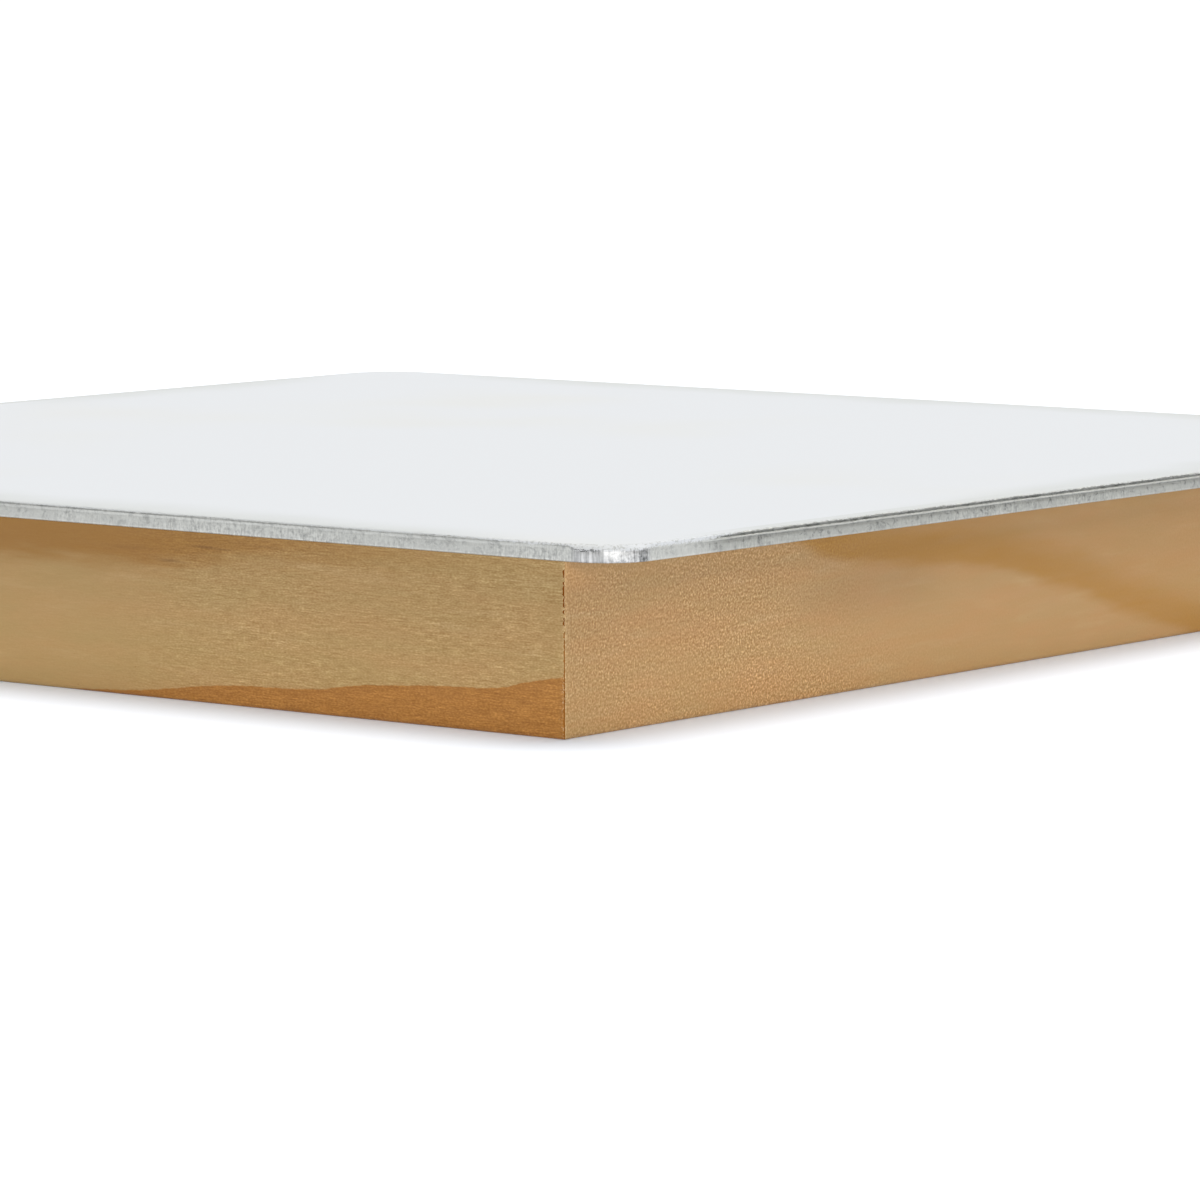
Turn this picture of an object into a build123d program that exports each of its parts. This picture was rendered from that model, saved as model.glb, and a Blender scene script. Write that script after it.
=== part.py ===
from build123d import *
import os

# Cradled aluminium painting panel, in millimetres.
# It lies on the back face of its wooden cradle, with its painting face up.
# X runs along the front and back rails, Y along the side rails and Z up.
# The origin is at the centre of the cradle's back face, the plane it rests on.

# Aluminium sheet: an 8 by 8 inch blank, filed round at its corners
sheet_width = 203.2
sheet_length = 203.2
sheet_thickness = 2.0
sheet_corner_radius = 6.0
face_rim_radius = 0.3
back_rim_bevel = 0.15

# Wooden cradle under the sheet: planed rails, mitred and glued at the corners
cradle_height = 20.0
rail_width = 19.0
side_overhang = 7.3
end_overhang = 0.25
mitre_glue_line = 0.1
back_edge_radius = 0.6
corner_arris_radius = 0.25

cradle_width = sheet_width - 2 * side_overhang
cradle_length = sheet_length - 2 * end_overhang


def aluminium_sheet():
    """The sheet, with a soft rim round its painting face and a fine bevel round its back."""
    blank = extrude(RectangleRounded(sheet_width, sheet_length, sheet_corner_radius), sheet_thickness)
    face_rim = blank.faces().sort_by(Axis.Z)[-1].edges()
    blank = fillet(face_rim, face_rim_radius)
    back_rim = blank.faces().sort_by(Axis.Z)[0].edges()
    blank = chamfer(back_rim, back_rim_bevel)
    return Pos(0, 0, cradle_height) * blank


def mitred_rail(outer_length):
    """One rail along X, its outer face on the XZ plane and its inner face towards +Y.

    Both ends are sawn at 45 degrees, half a glue line short of the corner. The long edges of its
    back face are eased.
    """
    half_outer = outer_length / 2 - mitre_glue_line / 2**0.5
    half_inner = half_outer - rail_width
    footprint = Polyline(
        (-half_outer, 0), (half_outer, 0), (half_inner, rail_width), (-half_inner, rail_width), close=True
    )
    rail = extrude(make_face(footprint), cradle_height)
    long_back_edges = rail.edges().filter_by(Axis.X).group_by(Axis.Z)[0]
    return fillet(long_back_edges, back_edge_radius)


def cradle_rails():
    """The four rails in their places, with the cradle's glued corners sanded to a small radius."""
    sanded_outside = extrude(RectangleRounded(cradle_width, cradle_length, corner_arris_radius), cradle_height)
    end_rail = Pos(0, -cradle_length / 2, 0) * mitred_rail(cradle_width)
    side_rail = Pos(0, -cradle_width / 2, 0) * mitred_rail(cradle_length)
    rails = {
        "rail_front": end_rail,
        "rail_right": Rot(0, 0, 90) * side_rail,
        "rail_back": Rot(0, 0, 180) * end_rail,
        "rail_left": Rot(0, 0, 270) * side_rail,
    }
    return {name: rail & sanded_outside for name, rail in rails.items()}


pieces = {"aluminium_sheet": aluminium_sheet(), **cradle_rails()}

os.makedirs("parts", exist_ok=True)
for name, solid in pieces.items():
    export_step(solid, f"parts/{name}.step")
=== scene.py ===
import math

import bmesh
import bpy
from mathutils import Matrix, Vector, noise


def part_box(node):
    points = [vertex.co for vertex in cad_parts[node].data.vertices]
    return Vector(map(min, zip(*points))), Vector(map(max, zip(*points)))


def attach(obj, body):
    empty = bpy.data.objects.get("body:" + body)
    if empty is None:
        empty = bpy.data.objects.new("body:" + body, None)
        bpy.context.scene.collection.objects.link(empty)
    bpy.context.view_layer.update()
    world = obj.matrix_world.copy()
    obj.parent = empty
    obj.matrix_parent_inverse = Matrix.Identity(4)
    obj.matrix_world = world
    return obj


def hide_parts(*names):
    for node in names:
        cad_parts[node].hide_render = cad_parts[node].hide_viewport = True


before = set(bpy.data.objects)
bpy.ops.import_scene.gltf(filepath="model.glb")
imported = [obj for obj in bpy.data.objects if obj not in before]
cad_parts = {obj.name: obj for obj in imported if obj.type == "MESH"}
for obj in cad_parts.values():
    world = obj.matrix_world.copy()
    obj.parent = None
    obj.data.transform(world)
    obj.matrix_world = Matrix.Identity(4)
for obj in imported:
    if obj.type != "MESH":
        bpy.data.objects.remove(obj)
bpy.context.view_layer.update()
scene = bpy.context.scene
scene.view_settings.view_transform = "Standard"

# Camera.
# A long lens looks at the panel's near corner from just above the table. Its place and its heading
# are those that the perspective of the photographed rails and rims gives.
MM = 0.001
front_low, front_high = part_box("rail_front")
side_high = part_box("rail_right")[1]
corner_foot = Vector((side_high.x, front_low.y, 0.0))

camera_distance = 626.9 * MM
camera_height = 84.24 * MM
camera_bearing = math.radians(38.144)
camera_heading = math.radians(37.79)
camera_tilt = math.radians(6.239)
camera_lens = 170.74
camera_sensor = 36.0
camera_reach = 50.0

camera = bpy.data.objects.new("camera", bpy.data.cameras.new("camera"))
scene.collection.objects.link(camera)
camera.data.sensor_width = camera_sensor
camera.data.lens = camera_lens
camera.data.clip_end = camera_reach
camera.location = corner_foot + Vector((
    camera_distance * math.sin(camera_bearing),
    -camera_distance * math.cos(camera_bearing),
    camera_height,
))
camera.rotation_euler = (math.pi / 2 - camera_tilt, 0.0, camera_heading)
scene.camera = camera

# Floor.
# A plain white studio table under the panel, lit faintly from beneath and a shade cooler than
# neutral, so that light off the warm rails leaves the shadow before them grey.
floor_half = 4.0
floor_white = (0.868, 0.885, 0.92, 1.0)
floor_glow = (0.66, 0.8, 0.95, 1.0)
floor_glow_strength = 0.13

floor_mesh = bpy.data.meshes.new("floor")
floor_mesh.from_pydata(
    [(x * floor_half, y * floor_half, 0.0) for x, y in ((-1, -1), (1, -1), (1, 1), (-1, 1))],
    [],
    [(0, 1, 2, 3)],
)
floor = bpy.data.objects.new("floor", floor_mesh)
scene.collection.objects.link(floor)
floor_paint = bpy.data.materials.new("floor_paint")
floor_paint.use_nodes = True
floor_shader = floor_paint.node_tree.nodes["Principled BSDF"]
floor_shader.inputs["Base Color"].default_value = floor_white
floor_shader.inputs["Roughness"].default_value = 0.9
floor_shader.inputs["Specular IOR Level"].default_value = 0.1
floor_shader.inputs["Emission Color"].default_value = floor_glow
floor_shader.inputs["Emission Strength"].default_value = floor_glow_strength
floor_mesh.materials.append(floor_paint)

# Light.
# A pale room, a broad soft light high behind the front rail, which leaves a short soft shadow before
# both rails, and a second broad light low beside the camera, which lights the two rails.
room_light = 0.5
room_seen = 1.1

room = bpy.data.worlds.new("room")
room.use_nodes = True
scene.world = room
room_tree = room.node_tree
room_shader = room_tree.nodes["Background"]
seen_directly = room_tree.nodes.new("ShaderNodeLightPath")
room_strength = room_tree.nodes.new("ShaderNodeMapRange")
room_strength.inputs["To Min"].default_value = room_light
room_strength.inputs["To Max"].default_value = room_seen
room_tree.links.new(seen_directly.outputs["Is Camera Ray"], room_strength.inputs["Value"])
room_tree.links.new(room_strength.outputs["Result"], room_shader.inputs["Strength"])
room_shader.inputs["Color"].default_value = (1.0, 1.0, 1.0, 1.0)


def studio_light(name, bearing, elevation, breadth, strength):
    """A broad far light. Its bearing is 0 degrees before the front rail and 90 before the right one."""
    lamp = bpy.data.lights.new(name, "SUN")
    lamp.energy = strength
    lamp.angle = math.radians(breadth)
    light = bpy.data.objects.new(name, lamp)
    scene.collection.objects.link(light)
    light.rotation_euler = (math.radians(90 - elevation), 0.0, math.radians(bearing))


studio_light("high_back_light", 188.0, 64.0, 52.0, 2.8)
studio_light("low_front_light", 52.0, 14.0, 34.0, 1.35)

# Cradle rails.
# Four planed and sanded hardwood rails with a clear satin sealer. They are mitred and glued end to
# end, the corners are sanded after the glue has set, and the glue shows as a dark broken line.
rail_height = front_high.z
rail_width = front_high.y - front_low.y
half_width = side_high.x
half_length = -front_low.y
back_edge_radius = 0.6 * MM
corner_arris_radius = 0.25 * MM
planing_depth = 0.012 * MM
glue_groove_depth = 0.08 * MM
closed_mitre = 0.004 * MM
end_face_inset = 0.06
rail_crease = math.radians(38)
# The rail's mesh: rings at these millimetres from each end, parts between them along the rail, and
# rows down its outer face, up its inner face and over its top
end_stations = [0.0, 0.04, 0.08, 0.12, 0.18, 0.25, 0.35, 0.5, 0.75, 1.1, 1.6, 2.4, 4.0]
middle_stations = 36
face_rows = 130
inner_rows = 10
top_parts = 8

# How far the edges at a glue line stand back from the mitre, in millimetres: where it is closed, and
# where it is widest at the three far corners
closed_gap = 0.008
widest_gap = 0.12
# Where the glue line stands open at the near corner, in millimetres: from and to up the rails, and
# how far the front and the right rail's edges stand back. The right rail's sanded edge reaches past
# the mitre at the top
near_glue_line = [
    (0.0, 3.6, 0.16, 0.01), (3.6, 5.6, 0.1, 0.01), (5.7, 6.4, 0.16, 0.0), (6.5, 11.3, 0.13, 0.0),
    (11.4, 12.2, 0.16, -0.01), (12.8, 13.6, 0.22, -0.02), (14.1, 14.6, 0.24, -0.03),
    (14.8, 15.5, 0.31, -0.035), (15.5, 16.2, 0.2, -0.03), (16.2, 17.2, 0.31, -0.035),
    (17.2, 17.7, 0.22, -0.03), (18.1, 18.4, 0.18, -0.03), (18.4, 19.05, 0.31, -0.035),
]


def eased_edge(centre_depth, centre_z, start, steps=6):
    """Points of the quarter circle of an eased back edge, start in quarter turns."""
    for step in range(steps + 1):
        angle = (start + step / steps) * math.pi / 2
        yield (
            centre_depth + back_edge_radius * math.cos(angle),
            centre_z + back_edge_radius * math.sin(angle),
        )


def rail_section():
    """The rail's section as (depth, height), from the top edge of its outer face down and round."""
    flat = rail_height - back_edge_radius
    points = [(0.0, rail_height - flat * row / face_rows) for row in range(face_rows)]
    points += eased_edge(back_edge_radius, back_edge_radius, 2)
    points += eased_edge(rail_width - back_edge_radius, back_edge_radius, 3)
    points += [(rail_width, back_edge_radius + flat * row / inner_rows) for row in range(1, inner_rows + 1)]
    points += [(rail_width * (1 - part / top_parts), rail_height) for part in range(1, top_parts)]
    return points


def glue_gap(corner, side, z):
    """How far the edge of a rail's outer face stands back from the mitre at this end and height.

    Corner 0 is the near one, where the front rail ends at side 1 and the right rail at side -1.
    """
    up = z / MM
    wander = noise.noise(Vector((corner * 7.3, 4.0, up * 3.1)))
    if corner == 0:
        opened = closed_gap
        for low, high, front_gap, right_gap in near_glue_line:
            if low <= up <= high:
                opened = front_gap if side > 0 else right_gap
        return opened * (1 + 1.1 * wander) * MM
    slow = noise.noise(Vector((corner * 7.3, 0.0, up * 0.55)))
    opened = min(1.0, max(0.0, 0.6 + 1.5 * slow + 0.8 * wander))
    return (closed_gap + widest_gap * opened) * MM


def finished_object(mesh, name, crease):
    """The object of a finished mesh, smooth but for the edges that are sharper than the crease."""
    data = bpy.data.meshes.new(name)
    mesh.to_mesh(data)
    mesh.free()
    data.polygons.foreach_set("use_smooth", [True] * len(data.polygons))
    data.set_sharp_from_angle(angle=crease)
    piece = bpy.data.objects.new(name, data)
    scene.collection.objects.link(piece)
    return piece


def rail_mesh(name, half_outer, reach, turn, corners):
    """One mitred rail, with the cradle's corners at its two ends by number, so that both rails match.

    Its vertices carry how far the glue line stands open at their height, in millimetres, and whether
    they are in the glue.
    """
    mesh = bmesh.new()
    open_layer = mesh.verts.layers.float.new("glue_open")
    glue_layer = mesh.verts.layers.float.new("in_glue")
    section = rail_section()
    rounding = corner_arris_radius * (1 - math.sqrt(0.5))
    turned = Matrix.Rotation(math.radians(turn), 3, "Z")

    def end_of(depth, z, corner, side):
        gap = glue_gap(corner, side, z) if depth < back_edge_radius / 2 else closed_mitre
        return max(depth, rounding) + gap

    def point(along, depth, z):
        return mesh.verts.new(turned @ Vector((along, depth - reach, z)))

    def station(along, depth, z):
        from_corner = half_outer - abs(along)
        if from_corner < corner_arris_radius:
            short = corner_arris_radius - from_corner
            depth = max(depth, corner_arris_radius - math.sqrt(corner_arris_radius**2 - short**2))
        planed = planing_depth * (1 + noise.noise(Vector((along / MM / 22, z / MM / 9, turn))))
        return point(along, depth + planed if depth < rail_width / 2 else depth - planed, z)

    ends = [step * MM for step in end_stations]
    loops = []
    for side, corner in ((-1, corners[0]), (1, corners[1])):
        reaches = [half_outer - end_of(depth, z, corner, side) for depth, z in section]
        side_loops = []
        for step in ends:
            side_loops.append([
                station(side * (edge - step), depth, z) for edge, (depth, z) in zip(reaches, section)
            ])
        loops.append((side_loops, reaches))
    low_loops, low_reaches = loops[0]
    high_loops, high_reaches = loops[1]
    middle = []
    for part in range(1, middle_stations):
        share = part / middle_stations
        middle.append([
            station(-(1 - share) * (low - ends[-1]) + share * (high - ends[-1]), depth, z)
            for low, high, (depth, z) in zip(low_reaches, high_reaches, section)
        ])
    chain = low_loops + middle + high_loops[::-1]
    for near_end, corner, side in ((low_loops, corners[0], -1), (high_loops, corners[1], 1)):
        for loop in near_end:
            for vertex, (depth, z) in zip(loop, section):
                vertex[open_layer] = max(0.0, glue_gap(corner, side, z) / MM)

    def band(near, far):
        for i in range(len(section)):
            j = (i + 1) % len(section)
            mesh.faces.new((near[i], near[j], far[j], far[i]))

    for near, far in zip(chain, chain[1:]):
        band(near, far)
    for side, loop in ((-1, chain[0]), (1, chain[-1])):
        groove, ring = [], []
        for depth, z in section:
            floor_depth = rounding + glue_groove_depth if depth < back_edge_radius / 2 else depth
            groove.append(point(side * (half_outer - floor_depth - closed_mitre), floor_depth, z))
            groove[-1][glue_layer] = 1.0
            inner = floor_depth + (rail_width / 2 - floor_depth) * end_face_inset
            inner_z = z + (rail_height / 2 - z) * end_face_inset
            ring.append(point(side * (half_outer - inner - closed_mitre), inner, inner_z))
            ring[-1][glue_layer] = 1.0
        band(loop, groove)
        band(groove, ring)
        mesh.faces.new(ring)
    bmesh.ops.recalc_face_normals(mesh, faces=mesh.faces)
    bmesh.ops.dissolve_degenerate(mesh, dist=0.0001 * MM, edges=mesh.edges)
    return finished_object(mesh, name, rail_crease)


def colour(red, green, blue):
    """A screen colour, 0 to 255, as the linear colour that a shader takes."""
    parts = [part / 255 for part in (red, green, blue)]
    return (*[part / 12.92 if part <= 0.04045 else ((part + 0.055) / 1.055) ** 2.4 for part in parts], 1.0)


class Finish:
    """The shader of one surface. Its places are millimetres in the panel's own frame."""

    def __init__(self, name):
        self.material = bpy.data.materials.new(name)
        self.material.use_nodes = True
        self.tree = self.material.node_tree
        self.shader = self.tree.nodes["Principled BSDF"]

    def join(self, value, socket):
        if isinstance(value, bpy.types.NodeSocket):
            self.tree.links.new(value, socket)
        else:
            socket.default_value = value

    def node(self, kind, inputs, **settings):
        made = self.tree.nodes.new("ShaderNode" + kind)
        for name, value in settings.items():
            setattr(made, name, value)
        for name, value in inputs.items():
            self.join(value, made.inputs[name])
        return made

    def carried(self, name):
        """A number that the mesh carries at its vertices."""
        return self.node("Attribute", {}, attribute_name=name).outputs["Fac"]

    def place(self, turn=0.0, shift=(0.0, 0.0, 0.0)):
        """Millimetres, turned back by a rail's turn, so that X runs along the rail and Y into it."""
        at = self.node("TexCoord", {}).outputs["Object"]
        grown = self.node("Mapping", {"Vector": at, "Scale": (1 / MM, 1 / MM, 1 / MM)}).outputs["Vector"]
        turned = {"Vector": grown, "Rotation": (0.0, 0.0, -math.radians(turn)), "Location": shift}
        return self.node("Mapping", turned).outputs["Vector"]

    def split(self, vector):
        return self.node("SeparateXYZ", {"Vector": vector}).outputs

    def math(self, operation, first, second=0.0):
        return self.node("Math", {0: first, 1: second}, operation=operation).outputs[0]

    def plus(self, first, second):
        return self.math("ADD", first, second)

    def minus(self, first, second):
        return self.math("SUBTRACT", first, second)

    def times(self, first, *others):
        for other in others:
            first = self.math("MULTIPLY", first, other)
        return first

    def noise(self, place, size, detail=2.0, roughness=0.5, distortion=0.0, shift=(0.0, 0.0, 0.0)):
        """Noise from 0 to 1 whose grains have this size in millimetres along the place's X, Y and Z."""
        scaled = {"Vector": place, "Scale": tuple(1 / part for part in size), "Location": shift}
        return self.node("TexNoise", {
            "Vector": self.node("Mapping", scaled).outputs["Vector"],
            "Scale": 1.0, "Detail": detail, "Roughness": roughness, "Distortion": distortion,
        }).outputs["Fac"]

    def swing(self, place, size, amount, **kind):
        """The same noise about zero, scaled so that it mostly stays within plus and minus the amount."""
        return self.times(self.minus(self.noise(place, size, **kind), 0.5), 3.0 * amount)

    def step(self, value, low, high, to_low=0.0, to_high=1.0):
        """Eases from to_low to to_high as the value goes from low to high, which may be the smaller."""
        if high < low:
            low, high, to_low, to_high = high, low, to_high, to_low
        inputs = {"Value": value, "From Min": low, "From Max": high, "To Min": to_low, "To Max": to_high}
        return self.node("MapRange", inputs, interpolation_type="SMOOTHSTEP").outputs["Result"]

    def band(self, value, low, high, soft):
        """One between low and high, and nought past them."""
        risen = self.step(value, low - soft, low + soft)
        return self.times(risen, self.step(value, high + soft, high - soft))

    def curve(self, value, points):
        """A smooth curve through points of (value, result), which may be in any units."""
        lows = [min(part) for part in zip(*points)]
        spans = [max(part) - low for part, low in zip(zip(*points), lows)]
        share = self.node("MapRange", {"Value": value, "From Min": lows[0], "From Max": lows[0] + spans[0]})
        made = self.node("FloatCurve", {"Value": share.outputs["Result"]})
        line = made.mapping.curves[0]
        places = [
            tuple((part - low) / span for part, low, span in zip(point, lows, spans)) for point in points
        ]
        line.points[0].location, line.points[-1].location = places[0], places[-1]
        for place in places[1:-1]:
            line.points.new(*place)
        made.mapping.update()
        return self.plus(self.times(made.outputs["Value"], spans[1]), lows[1])

    def mix(self, share, first, second):
        return self.node("Mix", {0: share, 6: first, 7: second}, data_type="RGBA").outputs[2]

    def bump(self, height, distance, strength=1.0):
        made = self.node("Bump", {"Height": height, "Distance": distance, "Strength": strength})
        self.join(made.outputs["Normal"], self.shader.inputs["Normal"])

    def put(self, **inputs):
        for name, value in inputs.items():
            self.join(value, self.shader.inputs[name.replace("_", " ")])


sapwood_olive = colour(166, 136, 85)
sapwood_tan = colour(171, 136, 86)
sapwood_orange = colour(176, 134, 84)
sapwood_pale = colour(182, 152, 106)
heartwood = colour(171, 117, 52)
heartwood_deep = colour(150, 99, 40)
heartwood_dull = colour(148, 102, 37)
heartwood_soft = colour(161, 114, 38)
pore_brown = colour(104, 66, 30)
glue_red = colour(116, 64, 24)
glue_orange = colour(150, 94, 34)
arris_pale = colour(214, 184, 138)
# A dark fibre is a deeper colour of the same wood, not a greyer one
fibre_tint = (0.75, 1.0, 1.45)


def fibre_streaks(finish, local, contrast):
    """Fine dark and light fibres that run along the rail, as a number about zero."""
    hair = finish.swing(local, (1.9, 0.2, 0.19), 0.36, detail=1.0, distortion=0.2)
    short = finish.swing(local, (0.36, 0.19, 0.17), 0.26, detail=0.0, shift=(4.0, 2.0, 7.0))
    long = finish.swing(local, (7.0, 0.6, 0.6), 0.09, detail=2.0, shift=(8.0, 3.0, 1.0))
    uneven = finish.plus(finish.noise(local, (9.0, 1.8, 1.8), detail=2.0, shift=(5.0, 2.0, 6.0)), 0.45)
    return finish.times(finish.plus(finish.plus(hair, short), long), contrast, uneven)


def sapwood_shade(finish, local, base, warm):
    """The slow drift of sapwood between two tones, with lighter streaks."""
    drift = finish.step(finish.noise(local, (24.0, 4.0, 4.0), detail=4.0, roughness=0.65), 0.3, 0.7)
    pale = finish.step(finish.noise(local, (12.0, 1.6, 1.6), detail=3.0, shift=(3.0, 1.0, 2.0)), 0.5, 0.8)
    return finish.mix(finish.times(pale, 0.35), finish.mix(drift, base, warm), sapwood_pale)


def heartwood_shade(finish, local):
    """Heartwood: brown and orange cells with darker clouds."""
    cell = finish.noise(local, (0.38, 0.22, 0.22), detail=1.0, shift=(9.0, 9.0, 2.0))
    cell = finish.step(cell, 0.25, 0.75)
    cloud = finish.noise(local, (6.0, 1.1, 1.1), detail=3.0, shift=(2.0, 5.0, 5.0))
    cloud = finish.step(cloud, 0.35, 0.65)
    deep = finish.plus(finish.times(cell, 0.8), finish.times(cloud, 0.35))
    return finish.mix(deep, heartwood_deep, heartwood)


def with_fibres(finish, shade, fibres, painted_light_and_tone=1.0):
    """The wood's colour with its fibres, of which the light ones stand out more, scaled as a whole by a
    painted light and shade factor.
    """
    fibres = finish.plus(fibres, finish.times(fibres, fibres, 0.7))
    tint = finish.node("VectorMath", {0: fibre_tint, "Scale": fibres}, operation="SCALE").outputs["Vector"]
    factor = finish.node("VectorMath", {0: tint, 1: (1.0, 1.0, 1.0)}, operation="ADD").outputs["Vector"]
    shade = finish.node("VectorMath", {0: shade, 1: factor}, operation="MULTIPLY").outputs["Vector"]
    return finish.node("VectorMath", {0: shade, "Scale": painted_light_and_tone}, operation="SCALE").outputs["Vector"]


def marked(finish, shade, along, z, marks):
    """The wood's colour with short dark marks at the given places."""
    for middle, height, half_length, half_height, strength in marks:
        run = finish.math("DIVIDE", finish.minus(along, middle), half_length)
        rise = finish.math("DIVIDE", finish.minus(z, height), half_height)
        far = finish.math("SQRT", finish.plus(finish.times(run, run), finish.times(rise, rise)))
        shade = finish.mix(finish.step(far, 1.0, 0.1, 0.0, strength), shade, pore_brown)
    return shade


def rail_finish(name, turn, half_outer, reach, figure, worn_share):
    """A rail's wood. Figure gives what is that rail's own: its colour and the height of its fine relief."""
    finish = Finish(name)
    local = finish.place(turn, (0.0, reach / MM, 0.0))
    along, depth, z = finish.split(local)
    shade, height = figure(finish, local, along, z)
    pore = finish.step(finish.noise(local, (0.7, 0.4, 0.3), detail=1.0, shift=(11.0, 5.0, 3.0)), 0.77, 0.82)
    shade = finish.mix(finish.times(pore, 0.7), shade, heartwood_deep)
    # Sanded arris, and the glue in the mitre
    to_end = finish.minus(half_outer / MM, finish.math("ABSOLUTE", along))
    mitre = finish.minus(to_end, depth)
    fleck = finish.noise(local, (0.3, 0.3, 0.4), detail=2.0, roughness=0.7, shift=(2.0, 8.0, 1.0))
    crumb = finish.noise(local, (0.18, 0.18, 0.24), detail=0.0, shift=(6.0, 4.0, 2.0))
    worn = finish.step(finish.plus(to_end, finish.times(fleck, 2.2)), 1.6, 1.1, 0.0, worn_share)
    worn = finish.times(worn, finish.step(z, 16.0, 3.0, 0.75, 1.35))
    worn = finish.times(worn, finish.step(crumb, 0.42, 0.6, 0.1, 1.0))
    shade = finish.mix(worn, shade, arris_pale)
    glue = finish.mix(finish.step(z, 11.5, 13.5), glue_orange, glue_red)
    glue_open = finish.carried("glue_open")
    in_glue = finish.carried("in_glue")
    past_edge = finish.minus(finish.plus(mitre, finish.times(fleck, 0.16)), glue_open)
    stain = finish.times(finish.step(past_edge, 0.2, 0.06, 0.0, 0.2), finish.step(glue_open, 0.03, 0.09))
    shade = finish.mix(finish.math("MAXIMUM", stain, finish.step(in_glue, 0.0, 0.2)), shade, glue)
    gloss = finish.noise(local, (9.0, 1.2, 1.2), detail=2.0, shift=(6.0, 1.0, 4.0))
    finish.put(
        Base_Color=shade,
        Roughness=finish.step(gloss, 0.2, 0.8, 0.4, 0.52),
        Specular_IOR_Level=finish.step(in_glue, 0.0, 0.2, 0.3, 0.0),
    )
    finish.bump(height, 0.05 * MM, 0.5)
    return finish.material


# Edges of darker wood on the two nearest rails, in millimetres from the near corner and up
front_heart_top = [
    (0.0, 7.1), (6.0, 6.0), (10.3, 5.1), (18.0, 4.75), (23.0, 4.4), (29.0, 4.0), (37.3, 2.9),
    (49.3, 2.4), (58.5, 1.4), (64.0, 0.75), (70.0, 0.4), (76.0, -0.1), (82.0, -1.0),
]
front_heart_above = [
    (0.0, 19.6), (20.0, 18.6), (40.0, 18.0), (48.0, 17.5), (55.0, 16.7), (62.0, 16.0), (74.0, 15.9),
    (90.0, 15.9),
]
right_heart_low = [
    (36.0, 20.4), (43.0, 18.6), (50.0, 16.2), (56.0, 15.0), (64.0, 14.2), (74.0, 13.4), (87.0, 11.7),
    (96.0, 9.5), (105.0, 7.3), (113.5, 4.4), (122.0, 2.1), (131.0, 0.0), (145.0, -3.0),
]
# Mineral lines and pores on them: millimetres from the near corner, height, half length, half height
# and how dark they are
front_marks = [
    (53.0, 18.3, 3.6, 0.3, 0.4), (50.2, 18.2, 2.0, 0.14, 0.35), (59.0, 16.4, 3.2, 0.28, 0.35),
    (65.0, 17.6, 5.0, 0.4, 0.16), (44.0, 18.9, 3.0, 0.25, 0.2), (41.1, 6.9, 0.15, 0.11, 0.8),
    (39.3, 4.5, 0.15, 0.11, 0.7), (37.3, 19.3, 0.25, 0.12, 0.6), (47.0, 12.2, 0.18, 0.08, 0.5),
]
right_marks = [
    (32.9, 15.0, 0.2, 0.14, 0.75), (28.6, 6.3, 0.18, 0.12, 0.6), (8.4, 12.5, 0.2, 0.12, 0.45),
    (7.2, 12.6, 0.2, 0.12, 0.45), (10.2, 14.0, 0.3, 0.1, 0.35), (55.0, 3.0, 0.2, 0.1, 0.5),
]
# How strongly the fibres stand out, by millimetres from the near corner
front_contrast = [
    (0.0, 0.95), (15.0, 0.9), (25.0, 0.78), (34.0, 0.8), (42.0, 0.9), (53.0, 0.8), (62.0, 0.45),
    (72.0, 0.18), (90.0, 0.12),
]
right_contrast = [
    (0.0, 0.7), (9.0, 0.78), (15.0, 0.62), (19.0, 0.66), (24.0, 0.92), (31.0, 0.96), (39.0, 0.8),
    (47.0, 0.46), (55.0, 0.26), (64.0, 0.1), (131.0, 0.1),
]


def front_figure(finish, local, along, z):
    """Streaky sapwood over a low band of heartwood, with a soft second band high at the far end."""
    from_corner = finish.minus(half_width / MM, along)
    streaks = fibre_streaks(finish, local, finish.curve(from_corner, front_contrast))
    shade = sapwood_shade(finish, local, sapwood_olive, sapwood_tan)
    above = finish.minus(z, finish.curve(from_corner, front_heart_above))
    drift = finish.swing(local, (11.0, 1.6, 1.2), 1.5, detail=3.0, shift=(1.0, 1.0, 8.0))
    above = finish.step(finish.plus(above, drift), -2.2, 1.6)
    above = finish.times(above, 0.85, finish.step(from_corner, -5.0, 62.0))
    shade = finish.mix(above, shade, heartwood_dull)
    shade = marked(finish, shade, from_corner, z, front_marks)
    ragged = finish.swing(local, (1.0, 0.4, 0.4), 0.12, detail=3.0, shift=(1.0, 3.0, 5.0))
    heart = finish.minus(finish.plus(finish.curve(from_corner, front_heart_top), ragged), z)
    near_edge = finish.step(heart, 1.4, 0.0, 0.0, 0.4)
    heart_shade = finish.mix(near_edge, heartwood_shade(finish, local), heartwood_deep)
    shade = finish.mix(finish.step(heart, -0.08, 0.1), shade, heart_shade)
    # Painted shade: the colour is scaled from 1.16 at the rail's foot to 0.9 at its top, so that the rail
    # reads darker towards the sheet.
    return with_fibres(finish, shade, streaks, finish.step(z, 18.0, 0.0, 0.9, 1.16)), streaks


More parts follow.
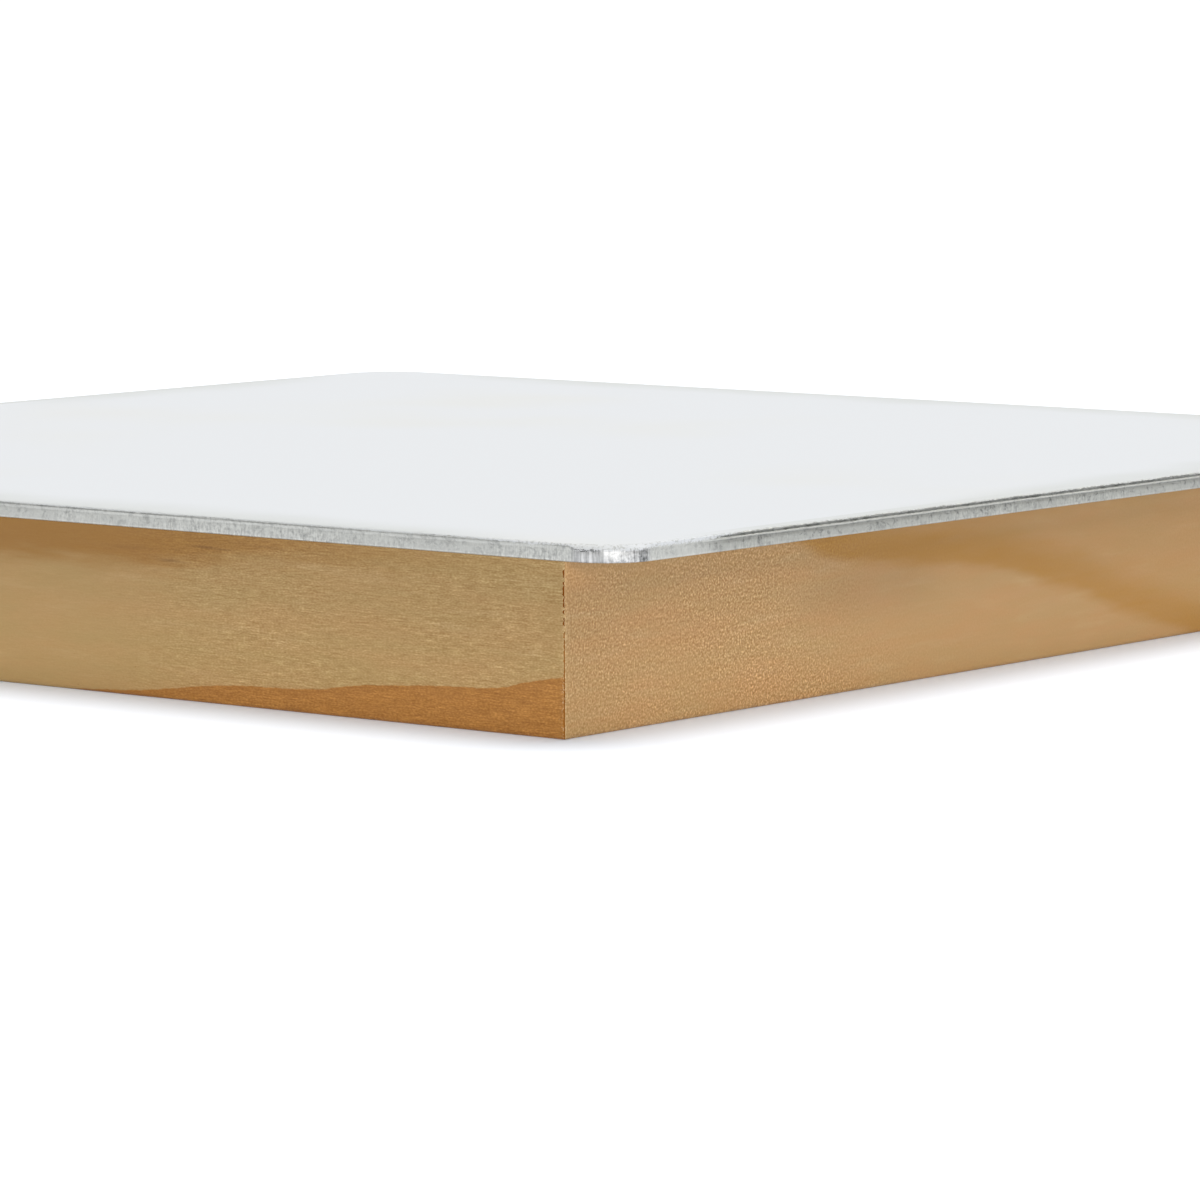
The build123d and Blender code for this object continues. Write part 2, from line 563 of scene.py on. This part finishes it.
def right_figure(finish, local, along, z):
    """Speckled sapwood that turns smooth, crossed by a soft band of heartwood that runs down it."""
    from_corner = finish.plus(half_length / MM, along)
    fleck = finish.swing(local, (0.36, 0.36, 0.33), 0.4, detail=0.0)
    fine = finish.swing(local, (0.24, 0.24, 0.24), 0.46, detail=0.0, shift=(3.0, 7.0, 1.0))
    uneven = finish.plus(finish.noise(local, (5.0, 5.0, 3.0), detail=2.0, shift=(5.0, 2.0, 6.0)), 0.5)
    reached = finish.minus(from_corner, finish.step(z, 10.0, 0.0, 0.0, 12.0))
    sharp = finish.times(finish.curve(reached, right_contrast), uneven)
    sharp = finish.times(sharp, finish.step(z, 19.6, 17.6, 0.5, 1.0))
    flecks = finish.times(finish.plus(fleck, fine), sharp)
    shade = sapwood_shade(finish, local, sapwood_tan, sapwood_orange)
    shade = marked(finish, shade, from_corner, z, right_marks)
    drift = finish.swing(local, (9.0, 2.0, 1.6), 0.6, detail=3.0, shift=(1.0, 1.0, 8.0))
    over = finish.plus(finish.minus(z, finish.curve(from_corner, right_heart_low)), drift)
    band = finish.times(finish.step(over, -0.9, 1.5), finish.step(over, 7.0, 2.4, 0.3, 1.0))
    band = finish.times(band, finish.step(from_corner, 72.0, 110.0, 0.92, 0.78))
    shade = finish.mix(band, shade, heartwood_soft)
    # Painted light and shade: the colour is scaled darker towards the top and lighter towards the foot,
    # lifted again in the top two millimetres under the sheet, and a little darker close to the near corner.
    # The dull term makes it a little darker in a patch below the band of heartwood.
    painted_light_and_tone = finish.plus(finish.step(z, 18.0, 0.0, 0.89, 1.14), finish.step(z, 16.2, 18.6, 0.0, 0.13))
    painted_light_and_tone = finish.times(painted_light_and_tone, finish.step(from_corner, 2.0, 18.0, 0.95, 1.0))
    dull = finish.times(finish.band(from_corner, 46.0, 72.0, 7.0), finish.band(z, 9.5, 15.0, 3.0), 0.11)
    painted_light_and_tone = finish.times(painted_light_and_tone, finish.minus(1.0, dull))
    return with_fibres(finish, shade, flecks, painted_light_and_tone), flecks


def plain_figure(finish, local, along, z):
    """Streaky sapwood with one slanting band of heartwood."""
    streaks = fibre_streaks(finish, local, 0.7)
    wave = finish.swing(local, (40.0, 6.0, 6.0), 3.0, detail=2.0, shift=(5.0, 1.0, 9.0))
    over = finish.plus(finish.minus(z, finish.times(along, 0.07)), wave)
    band = finish.times(finish.step(over, 3.3, 4.5), finish.step(over, 11.0, 6.0))
    shade = sapwood_shade(finish, local, sapwood_olive, sapwood_tan)
    shade = finish.mix(finish.times(band, 0.6), shade, heartwood_shade(finish, local))
    return with_fibres(finish, shade, streaks), streaks


# Each rail's half length, outer face's distance, turn, the corners at its ends, its figure and how
# worn its arris is
rails = {
    "rail_front": (half_width, half_length, 0, (3, 0), front_figure, 0.6),
    "rail_right": (half_length, half_width, 90, (0, 1), right_figure, 0.42),
    "rail_back": (half_width, half_length, 180, (1, 2), plain_figure, 0.4),
    "rail_left": (half_length, half_width, 270, (2, 3), plain_figure, 0.5),
}
for name, (half_outer, reach, turn, corners, figure, worn_share) in rails.items():
    rail = rail_mesh(name + "_wood", half_outer, reach, turn, corners)
    rail.data.materials.append(rail_finish(name + "_wood", turn, half_outer, reach, figure, worn_share))
    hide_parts(name)
    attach(rail, "root")

# Aluminium sheet.
# A two millimetre aluminium sheet, sawn to size, filed round at its corners and bonded on the cradle.
# Its face has a white ground that ends raggedly at the rim, over bare metal that the saw has scored.
sheet_low, sheet_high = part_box("aluminium_sheet")
sheet_base = sheet_low.z
sheet_thickness = (sheet_high.z - sheet_low.z) / MM
sheet_crease = math.radians(60)
sheet_corner_radius = 6.0
corner_arc = sheet_corner_radius * math.pi / 4
rim_step = 0.26
face_ring = 2.5
back_ring = 1.2

# The rim's profile, each point as (millimetres below the face, millimetres in from the side). The
# first is a plainly sawn side, the second one that the saw has scored twice, the third a filed corner
plain_rim = [
    (0.00, 0.30), (0.02, 0.17), (0.05, 0.09), (0.09, 0.04), (0.14, 0.02), (0.19, 0.04), (0.24, 0.03),
    (0.29, 0.01), (0.42, 0.02), (0.52, 0.03), (0.60, 0.04), (0.72, 0.03), (0.90, 0.02), (1.15, 0.02),
    (1.45, 0.01), (1.70, 0.01), (1.87, 0.00), (2.00, 0.13),
]
scored_rim = [
    (0.00, 0.34), (0.03, 0.22), (0.07, 0.14), (0.12, 0.10), (0.18, 0.13), (0.26, 0.21), (0.37, 0.22),
    (0.46, 0.12), (0.51, 0.01), (0.57, 0.01), (0.65, 0.11), (0.77, 0.13), (0.91, 0.06), (1.12, 0.03),
    (1.45, 0.02), (1.70, 0.01), (1.87, 0.00), (2.00, 0.13),
]
filed_rim = [
    (0.00, 0.85), (0.05, 0.62), (0.13, 0.42), (0.23, 0.27), (0.34, 0.17), (0.45, 0.10), (0.54, 0.05),
    (0.60, 0.04), (0.66, 0.09), (0.76, 0.06), (0.88, 0.04), (1.02, 0.03), (1.18, 0.02), (1.36, 0.02),
    (1.56, 0.02), (1.74, 0.03), (1.88, 0.07), (2.00, 0.20),
]
# How deeply the saw has scored the front, right, back and left side
scored_sides = (0.06, 1.0, 0.4, 0.7)
# What the sheet's mesh carries for its finish: millimetres below the face (less than nought on the
# face itself), how far down the white ground reaches, how ragged it is there, how scored and how
# filed the rim is, and millimetres past the middle of the nearest corner
rim_marks = ("below_face", "ground_reach", "ragged", "scored", "filed", "past_corner")


def ease(value, low, high):
    """Eases from 0 to 1 as the value goes from low to high."""
    share = min(1.0, max(0.0, (value - low) / (high - low)))
    return share * share * (3 - 2 * share)


def rim_line():
    """The sheet's outline in small even steps, all in millimetres.

    Each step gives its place, the way out, how far past the middle of the nearest corner it is and
    how deeply its side is scored.
    """
    half = Vector((sheet_high.x, sheet_high.y)) / MM - Vector((sheet_corner_radius, sheet_corner_radius))
    for quarter in range(4):
        turn = Matrix.Rotation(quarter * math.pi / 2, 3, "Z")
        half_side, side_reach = (half.x, half.y) if quarter % 2 == 0 else (half.y, half.x)
        steps = round(2 * half_side / rim_step)
        for i in range(steps):
            along = -half_side + 2 * half_side * i / steps
            past = corner_arc + half_side - abs(along)
            past = past if along < 0 else -past
            place = Vector((along, -side_reach - sheet_corner_radius, 0.0))
            yield turn @ place, turn @ Vector((0.0, -1.0, 0.0)), past, scored_sides[quarter]
        arc_steps = round(2 * corner_arc / rim_step)
        for i in range(arc_steps):
            angle = -math.pi / 2 * (1 - i / arc_steps)
            out = Vector((math.cos(angle), math.sin(angle), 0.0))
            place = Vector((half_side, -side_reach, 0.0)) + out * sheet_corner_radius
            past = sheet_corner_radius * (angle + math.pi / 4)
            yield turn @ place, turn @ out, past, 0.0


def sheet_mesh(name):
    """The sheet with its sawn and filed rim, over which the white ground laps at the corners."""
    mesh = bmesh.new()
    layers = [mesh.verts.layers.float.new(name) for name in rim_marks]

    def point(place, out, inset, below, *marks):
        height = sheet_base + (sheet_thickness - below) * MM
        made = mesh.verts.new((place - out * inset) * MM + Vector((0.0, 0.0, height)))
        for layer, mark in zip(layers, marks):
            made[layer] = mark
        return made

    columns = []
    for place, out, past, scored in rim_line():
        filed = 1.0 - ease(abs(past), corner_arc - 0.6, corner_arc + 0.9)
        scored *= ease(abs(past), 13.0, 20.0)
        slow = noise.noise(place * 0.11)
        lip = ease(past, 0.0, 5.0) * (1 - ease(past, 14.0 + 4 * slow, 24.0 + 4 * slow))
        front_lip = ease(-past, 0.0, 5.0) * (1 - ease(-past, 10.0, 22.0))
        reach = 0.14 - 0.06 * scored + 0.08 * slow
        reach += 0.42 * filed + (0.3 * lip + 0.12 * front_lip) * (1 - filed)
        ragged = 0.08 + 0.3 * (1 - ease(abs(past), 8.0, 26.0)) + 0.12 * scored
        marks = (reach, ragged, scored, filed, past)
        column = []
        for row, ((plain_z, plain_in), (scored_z, scored_in), (filed_z, filed_in)) in enumerate(
            zip(plain_rim, scored_rim, filed_rim)
        ):
            below = plain_z + (scored_z - plain_z) * scored
            inset = plain_in + (scored_in - plain_in) * scored
            below += (filed_z - below) * filed
            inset += (filed_in - inset) * filed
            if 0 < row < len(plain_rim) - 1:
                rough = noise.noise(Vector((place.x * 1.3, place.y * 1.3, row * 0.6)))
                fine = noise.noise(Vector((place.x * 2.9, place.y * 2.9, below * 0.8)))
                below = max(0.004, below + 0.03 * rough * (below < 1.5))
                inset += 0.02 + inset * 0.5 * rough + 0.015 * (1 + fine) * (1 + ragged)
            column.append(point(place, out, max(0.0, inset), below, below, *marks))
        columns.append([
            point(place, out, face_ring, 0.0, -face_ring, *marks),
            *column,
            point(place, out, back_ring, sheet_thickness, sheet_thickness + back_ring, *marks),
        ])
    for near, far in zip(columns, columns[1:] + columns[:1]):
        for i in range(len(near) - 1):
            mesh.faces.new((near[i], near[i + 1], far[i + 1], far[i]))
    mesh.faces.new([column[0] for column in columns])
    mesh.faces.new([column[-1] for column in reversed(columns)])
    bmesh.ops.recalc_face_normals(mesh, faces=mesh.faces)
    return finished_object(mesh, name, sheet_crease)


ground_white = colour(201, 203, 205)
ground_ivory = colour(201, 200, 193)
greyer_rim_ground = colour(188, 190, 187)
rubbed_ground = colour(150, 150, 142)
sawn_metal = colour(210, 210, 204)
sawn_dull = colour(191, 191, 184)
# Dark metal, used for painted shade in the saw's scores, under the ground's lip and at the filed corner,
# and for grime in the smudges.
sawn_shadow_and_grime = colour(92, 93, 92)
filed_bright_and_highlight = colour(217, 216, 214)

# How bright the filed corner is, by millimetres past its middle: a painted highlight where its curve faces
# the light, with bright file strokes
corner_filing_and_painted_highlight = [
    (-8.0, 0.66), (-4.7, 0.58), (-3.8, 0.62), (-3.5, 0.88), (-3.2, 0.58), (-2.85, 0.55), (-2.65, 1.1),
    (-2.45, 1.1), (-2.25, 0.5), (-1.5, 0.6), (-1.0, 0.64), (0.0, 0.72), (2.0, 0.72), (3.0, 0.75),
    (3.35, 0.42), (4.2, 0.38), (4.8, 0.5), (8.0, 0.55),
]


def sheet_finish():
    """The sheet's finish: white ground over its face, ending raggedly over the bare metal of its rim."""
    finish = Finish("primed_aluminium")
    place = finish.place()
    below, reach, ragged, scored, filed, past = (finish.carried(name) for name in rim_marks)
    # Sawn metal: upright ticks, smudges, and the saw's double score, whose grooves are darkened with
    # painted shade and grime, with a painted highlight on the burr between them
    tick = finish.swing(place, (0.22, 0.22, 1.0), 0.24, detail=1.0, roughness=0.7)
    pit = finish.swing(place, (0.3, 0.3, 0.3), 0.2, detail=1.0, shift=(3.0, 9.0, 4.0))
    patch = finish.noise(place, (14.0, 14.0, 14.0), detail=2.0, shift=(5.0, 5.0, 1.0))
    patch = finish.step(patch, 0.35, 0.65)
    mark = finish.times(finish.plus(tick, pit), finish.plus(finish.times(patch, 0.9), 0.3))
    mark = finish.times(mark, finish.step(below, 0.3, 1.2, 0.5, 1.0))
    scratch = finish.swing(place, (11.0, 11.0, 0.1), 0.07, detail=1.0, shift=(4.0, 1.0, 3.0))
    mark = finish.plus(mark, finish.times(scratch, finish.step(below, 1.5, 0.5)))
    smudge = finish.noise(
        place, (1.0, 1.0, 0.8), detail=4.0, roughness=0.7, distortion=0.6, shift=(2.0, 2.0, 8.0)
    )
    smudge = finish.times(finish.step(smudge, 0.5, 0.66), finish.step(below, 1.9, 0.9, 0.5, 1.0))
    under_scores = finish.times(scored, 0.25, finish.step(below, 0.7, 1.0))
    smudge = finish.times(smudge, finish.plus(under_scores, 0.25))
    wavy = finish.plus(below, finish.swing(place, (5.0, 5.0, 5.0), 0.05, detail=2.0))
    # Painted shade and grime in the two score grooves and a little below them, less a painted highlight
    # along the burr between them.
    upper = finish.times(finish.band(wavy, 0.23, 0.42, 0.08), 0.47)
    lower = finish.times(finish.band(wavy, 0.67, 0.79, 0.07), 0.38)
    tail = finish.times(finish.band(wavy, 0.85, 1.15, 0.3), 0.1)
    burr_highlight = finish.times(finish.band(wavy, 0.52, 0.57, 0.035), 0.38)
    score_shade_and_burr_highlight = finish.minus(finish.plus(upper, finish.plus(lower, tail)), burr_highlight)
    score_shade_and_burr_highlight = finish.times(score_shade_and_burr_highlight, scored, finish.step(filed, 1.0, 0.2))
    dark = finish.plus(finish.plus(finish.plus(score_shade_and_burr_highlight, smudge), mark), 0.18)
    metal = finish.mix(dark, finish.mix(scored, sawn_metal, sawn_dull), sawn_shadow_and_grime)
    # Filed corner, its bright curve a painted highlight over the filed metal
    streak = finish.swing(place, (0.2, 0.2, 2.4), 0.42, detail=1.0, shift=(6.0, 6.0, 6.0))
    dent = finish.swing(place, (0.3, 0.3, 0.3), 0.45, detail=2.0, shift=(7.0, 1.0, 6.0))
    dent = finish.times(dent, finish.step(past, -1.5, 0.5, 0.25, 1.0))
    # Painted highlight on the filed corner's curve, with bright file strokes and dents.
    filed_shine_and_painted_highlight = finish.plus(finish.curve(past, corner_filing_and_painted_highlight), finish.plus(streak, dent))
    metal = finish.mix(filed, metal, finish.mix(filed_shine_and_painted_highlight, sawn_shadow_and_grime, filed_bright_and_highlight))
    # White ground, rubbed and chipped along the rim, with a shadow under its lip
    ragged_edge = finish.noise(place, (0.42, 0.42, 0.36), detail=3.0, roughness=0.65)
    bound = finish.plus(reach, finish.times(finish.minus(ragged_edge, 0.5), 3.0, ragged))
    over = finish.minus(below, bound)
    from_middle = finish.math("ABSOLUTE", past)
    lip_strength = finish.plus(finish.step(from_middle, 20.0, 85.0, 0.05, 0.4), finish.times(scored, 0.18))
    lip_strength = finish.plus(lip_strength, finish.times(filed, finish.step(past, -1.4, -2.4), 0.8))
    lip_breaks = finish.noise(place, (2.4, 2.4, 2.4), detail=2.0, shift=(1.0, 8.0, 1.0))
    lip_breaks = finish.step(lip_breaks, 0.34, 0.46)
    under_lip = finish.times(finish.band(over, 0.03, 0.17, 0.04), lip_breaks, lip_strength)
    metal = finish.mix(under_lip, metal, sawn_shadow_and_grime)
    cloud = finish.noise(place, (60.0, 60.0, 60.0), detail=2.0, shift=(7.0, 2.0, 0.0))
    ground = finish.mix(finish.step(cloud, 0.5, 0.85, 0.0, 0.6), ground_white, ground_ivory)
    across = finish.split(place)
    off_middle = finish.math(
        "MAXIMUM", finish.math("ABSOLUTE", across["X"]), finish.math("ABSOLUTE", across["Y"])
    )
    wavy_rim = finish.swing(place, (17.0, 17.0, 17.0), 3.5, detail=2.0, shift=(9.0, 2.0, 4.0))
    rim_zone = finish.step(finish.plus(finish.minus(sheet_high.x / MM, off_middle), wavy_rim), 12.0, -1.0)
    # The ground turns greyer towards the rim, more so away from the corners.
    rim_greying = finish.times(rim_zone, finish.step(from_middle, 9.0, 29.0), 0.7)
    ground = finish.mix(rim_greying, ground, greyer_rim_ground)
    speck = finish.step(finish.noise(place, (0.6, 0.6, 0.6), detail=2.0, shift=(1.0, 6.0, 2.0)), 0.8, 0.86)
    near_rim = finish.times(finish.step(below, -1.2, 0.1), finish.step(ragged, 0.1, 0.4))
    chip = finish.noise(place, (0.34, 0.34, 0.28), detail=2.0, shift=(4.0, 4.0, 4.0))
    rubbed = finish.times(finish.step(chip, 0.52, 0.64), near_rim)
    abraded = finish.times(finish.step(chip, 0.42, 0.6), finish.step(below, -0.7, 0.15))
    abraded = finish.times(abraded, finish.plus(scored, 0.2), 0.6)
    rubbed = finish.math("MAXIMUM", rubbed, abraded)
    rubbed = finish.plus(finish.times(speck, 0.25), finish.times(rubbed, 0.55))
    ground = finish.mix(rubbed, ground, rubbed_ground)
    coated = finish.step(over, 0.03, -0.03)
    finish.put(
        Base_Color=finish.mix(coated, metal, ground),
        Metallic=finish.times(finish.minus(1.0, coated), 0.85),
        Roughness=finish.step(coated, 0.0, 1.0, 0.5, 0.85),
        Specular_IOR_Level=finish.step(coated, 0.0, 1.0, 0.3, 0.12),
    )
    stipple = finish.noise(place, (0.8, 0.8, 0.8), detail=2.0, shift=(5.0, 5.0, 5.0))
    relief = finish.plus(finish.times(coated, 1.2), finish.times(stipple, 0.15))
    finish.bump(finish.plus(finish.times(tick, 1.2), relief), 0.02 * MM, 0.5)
    return finish.material


sheet = sheet_mesh("aluminium_sheet_primed")
sheet.data.materials.append(sheet_finish())
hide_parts("aluminium_sheet")
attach(sheet, "root")
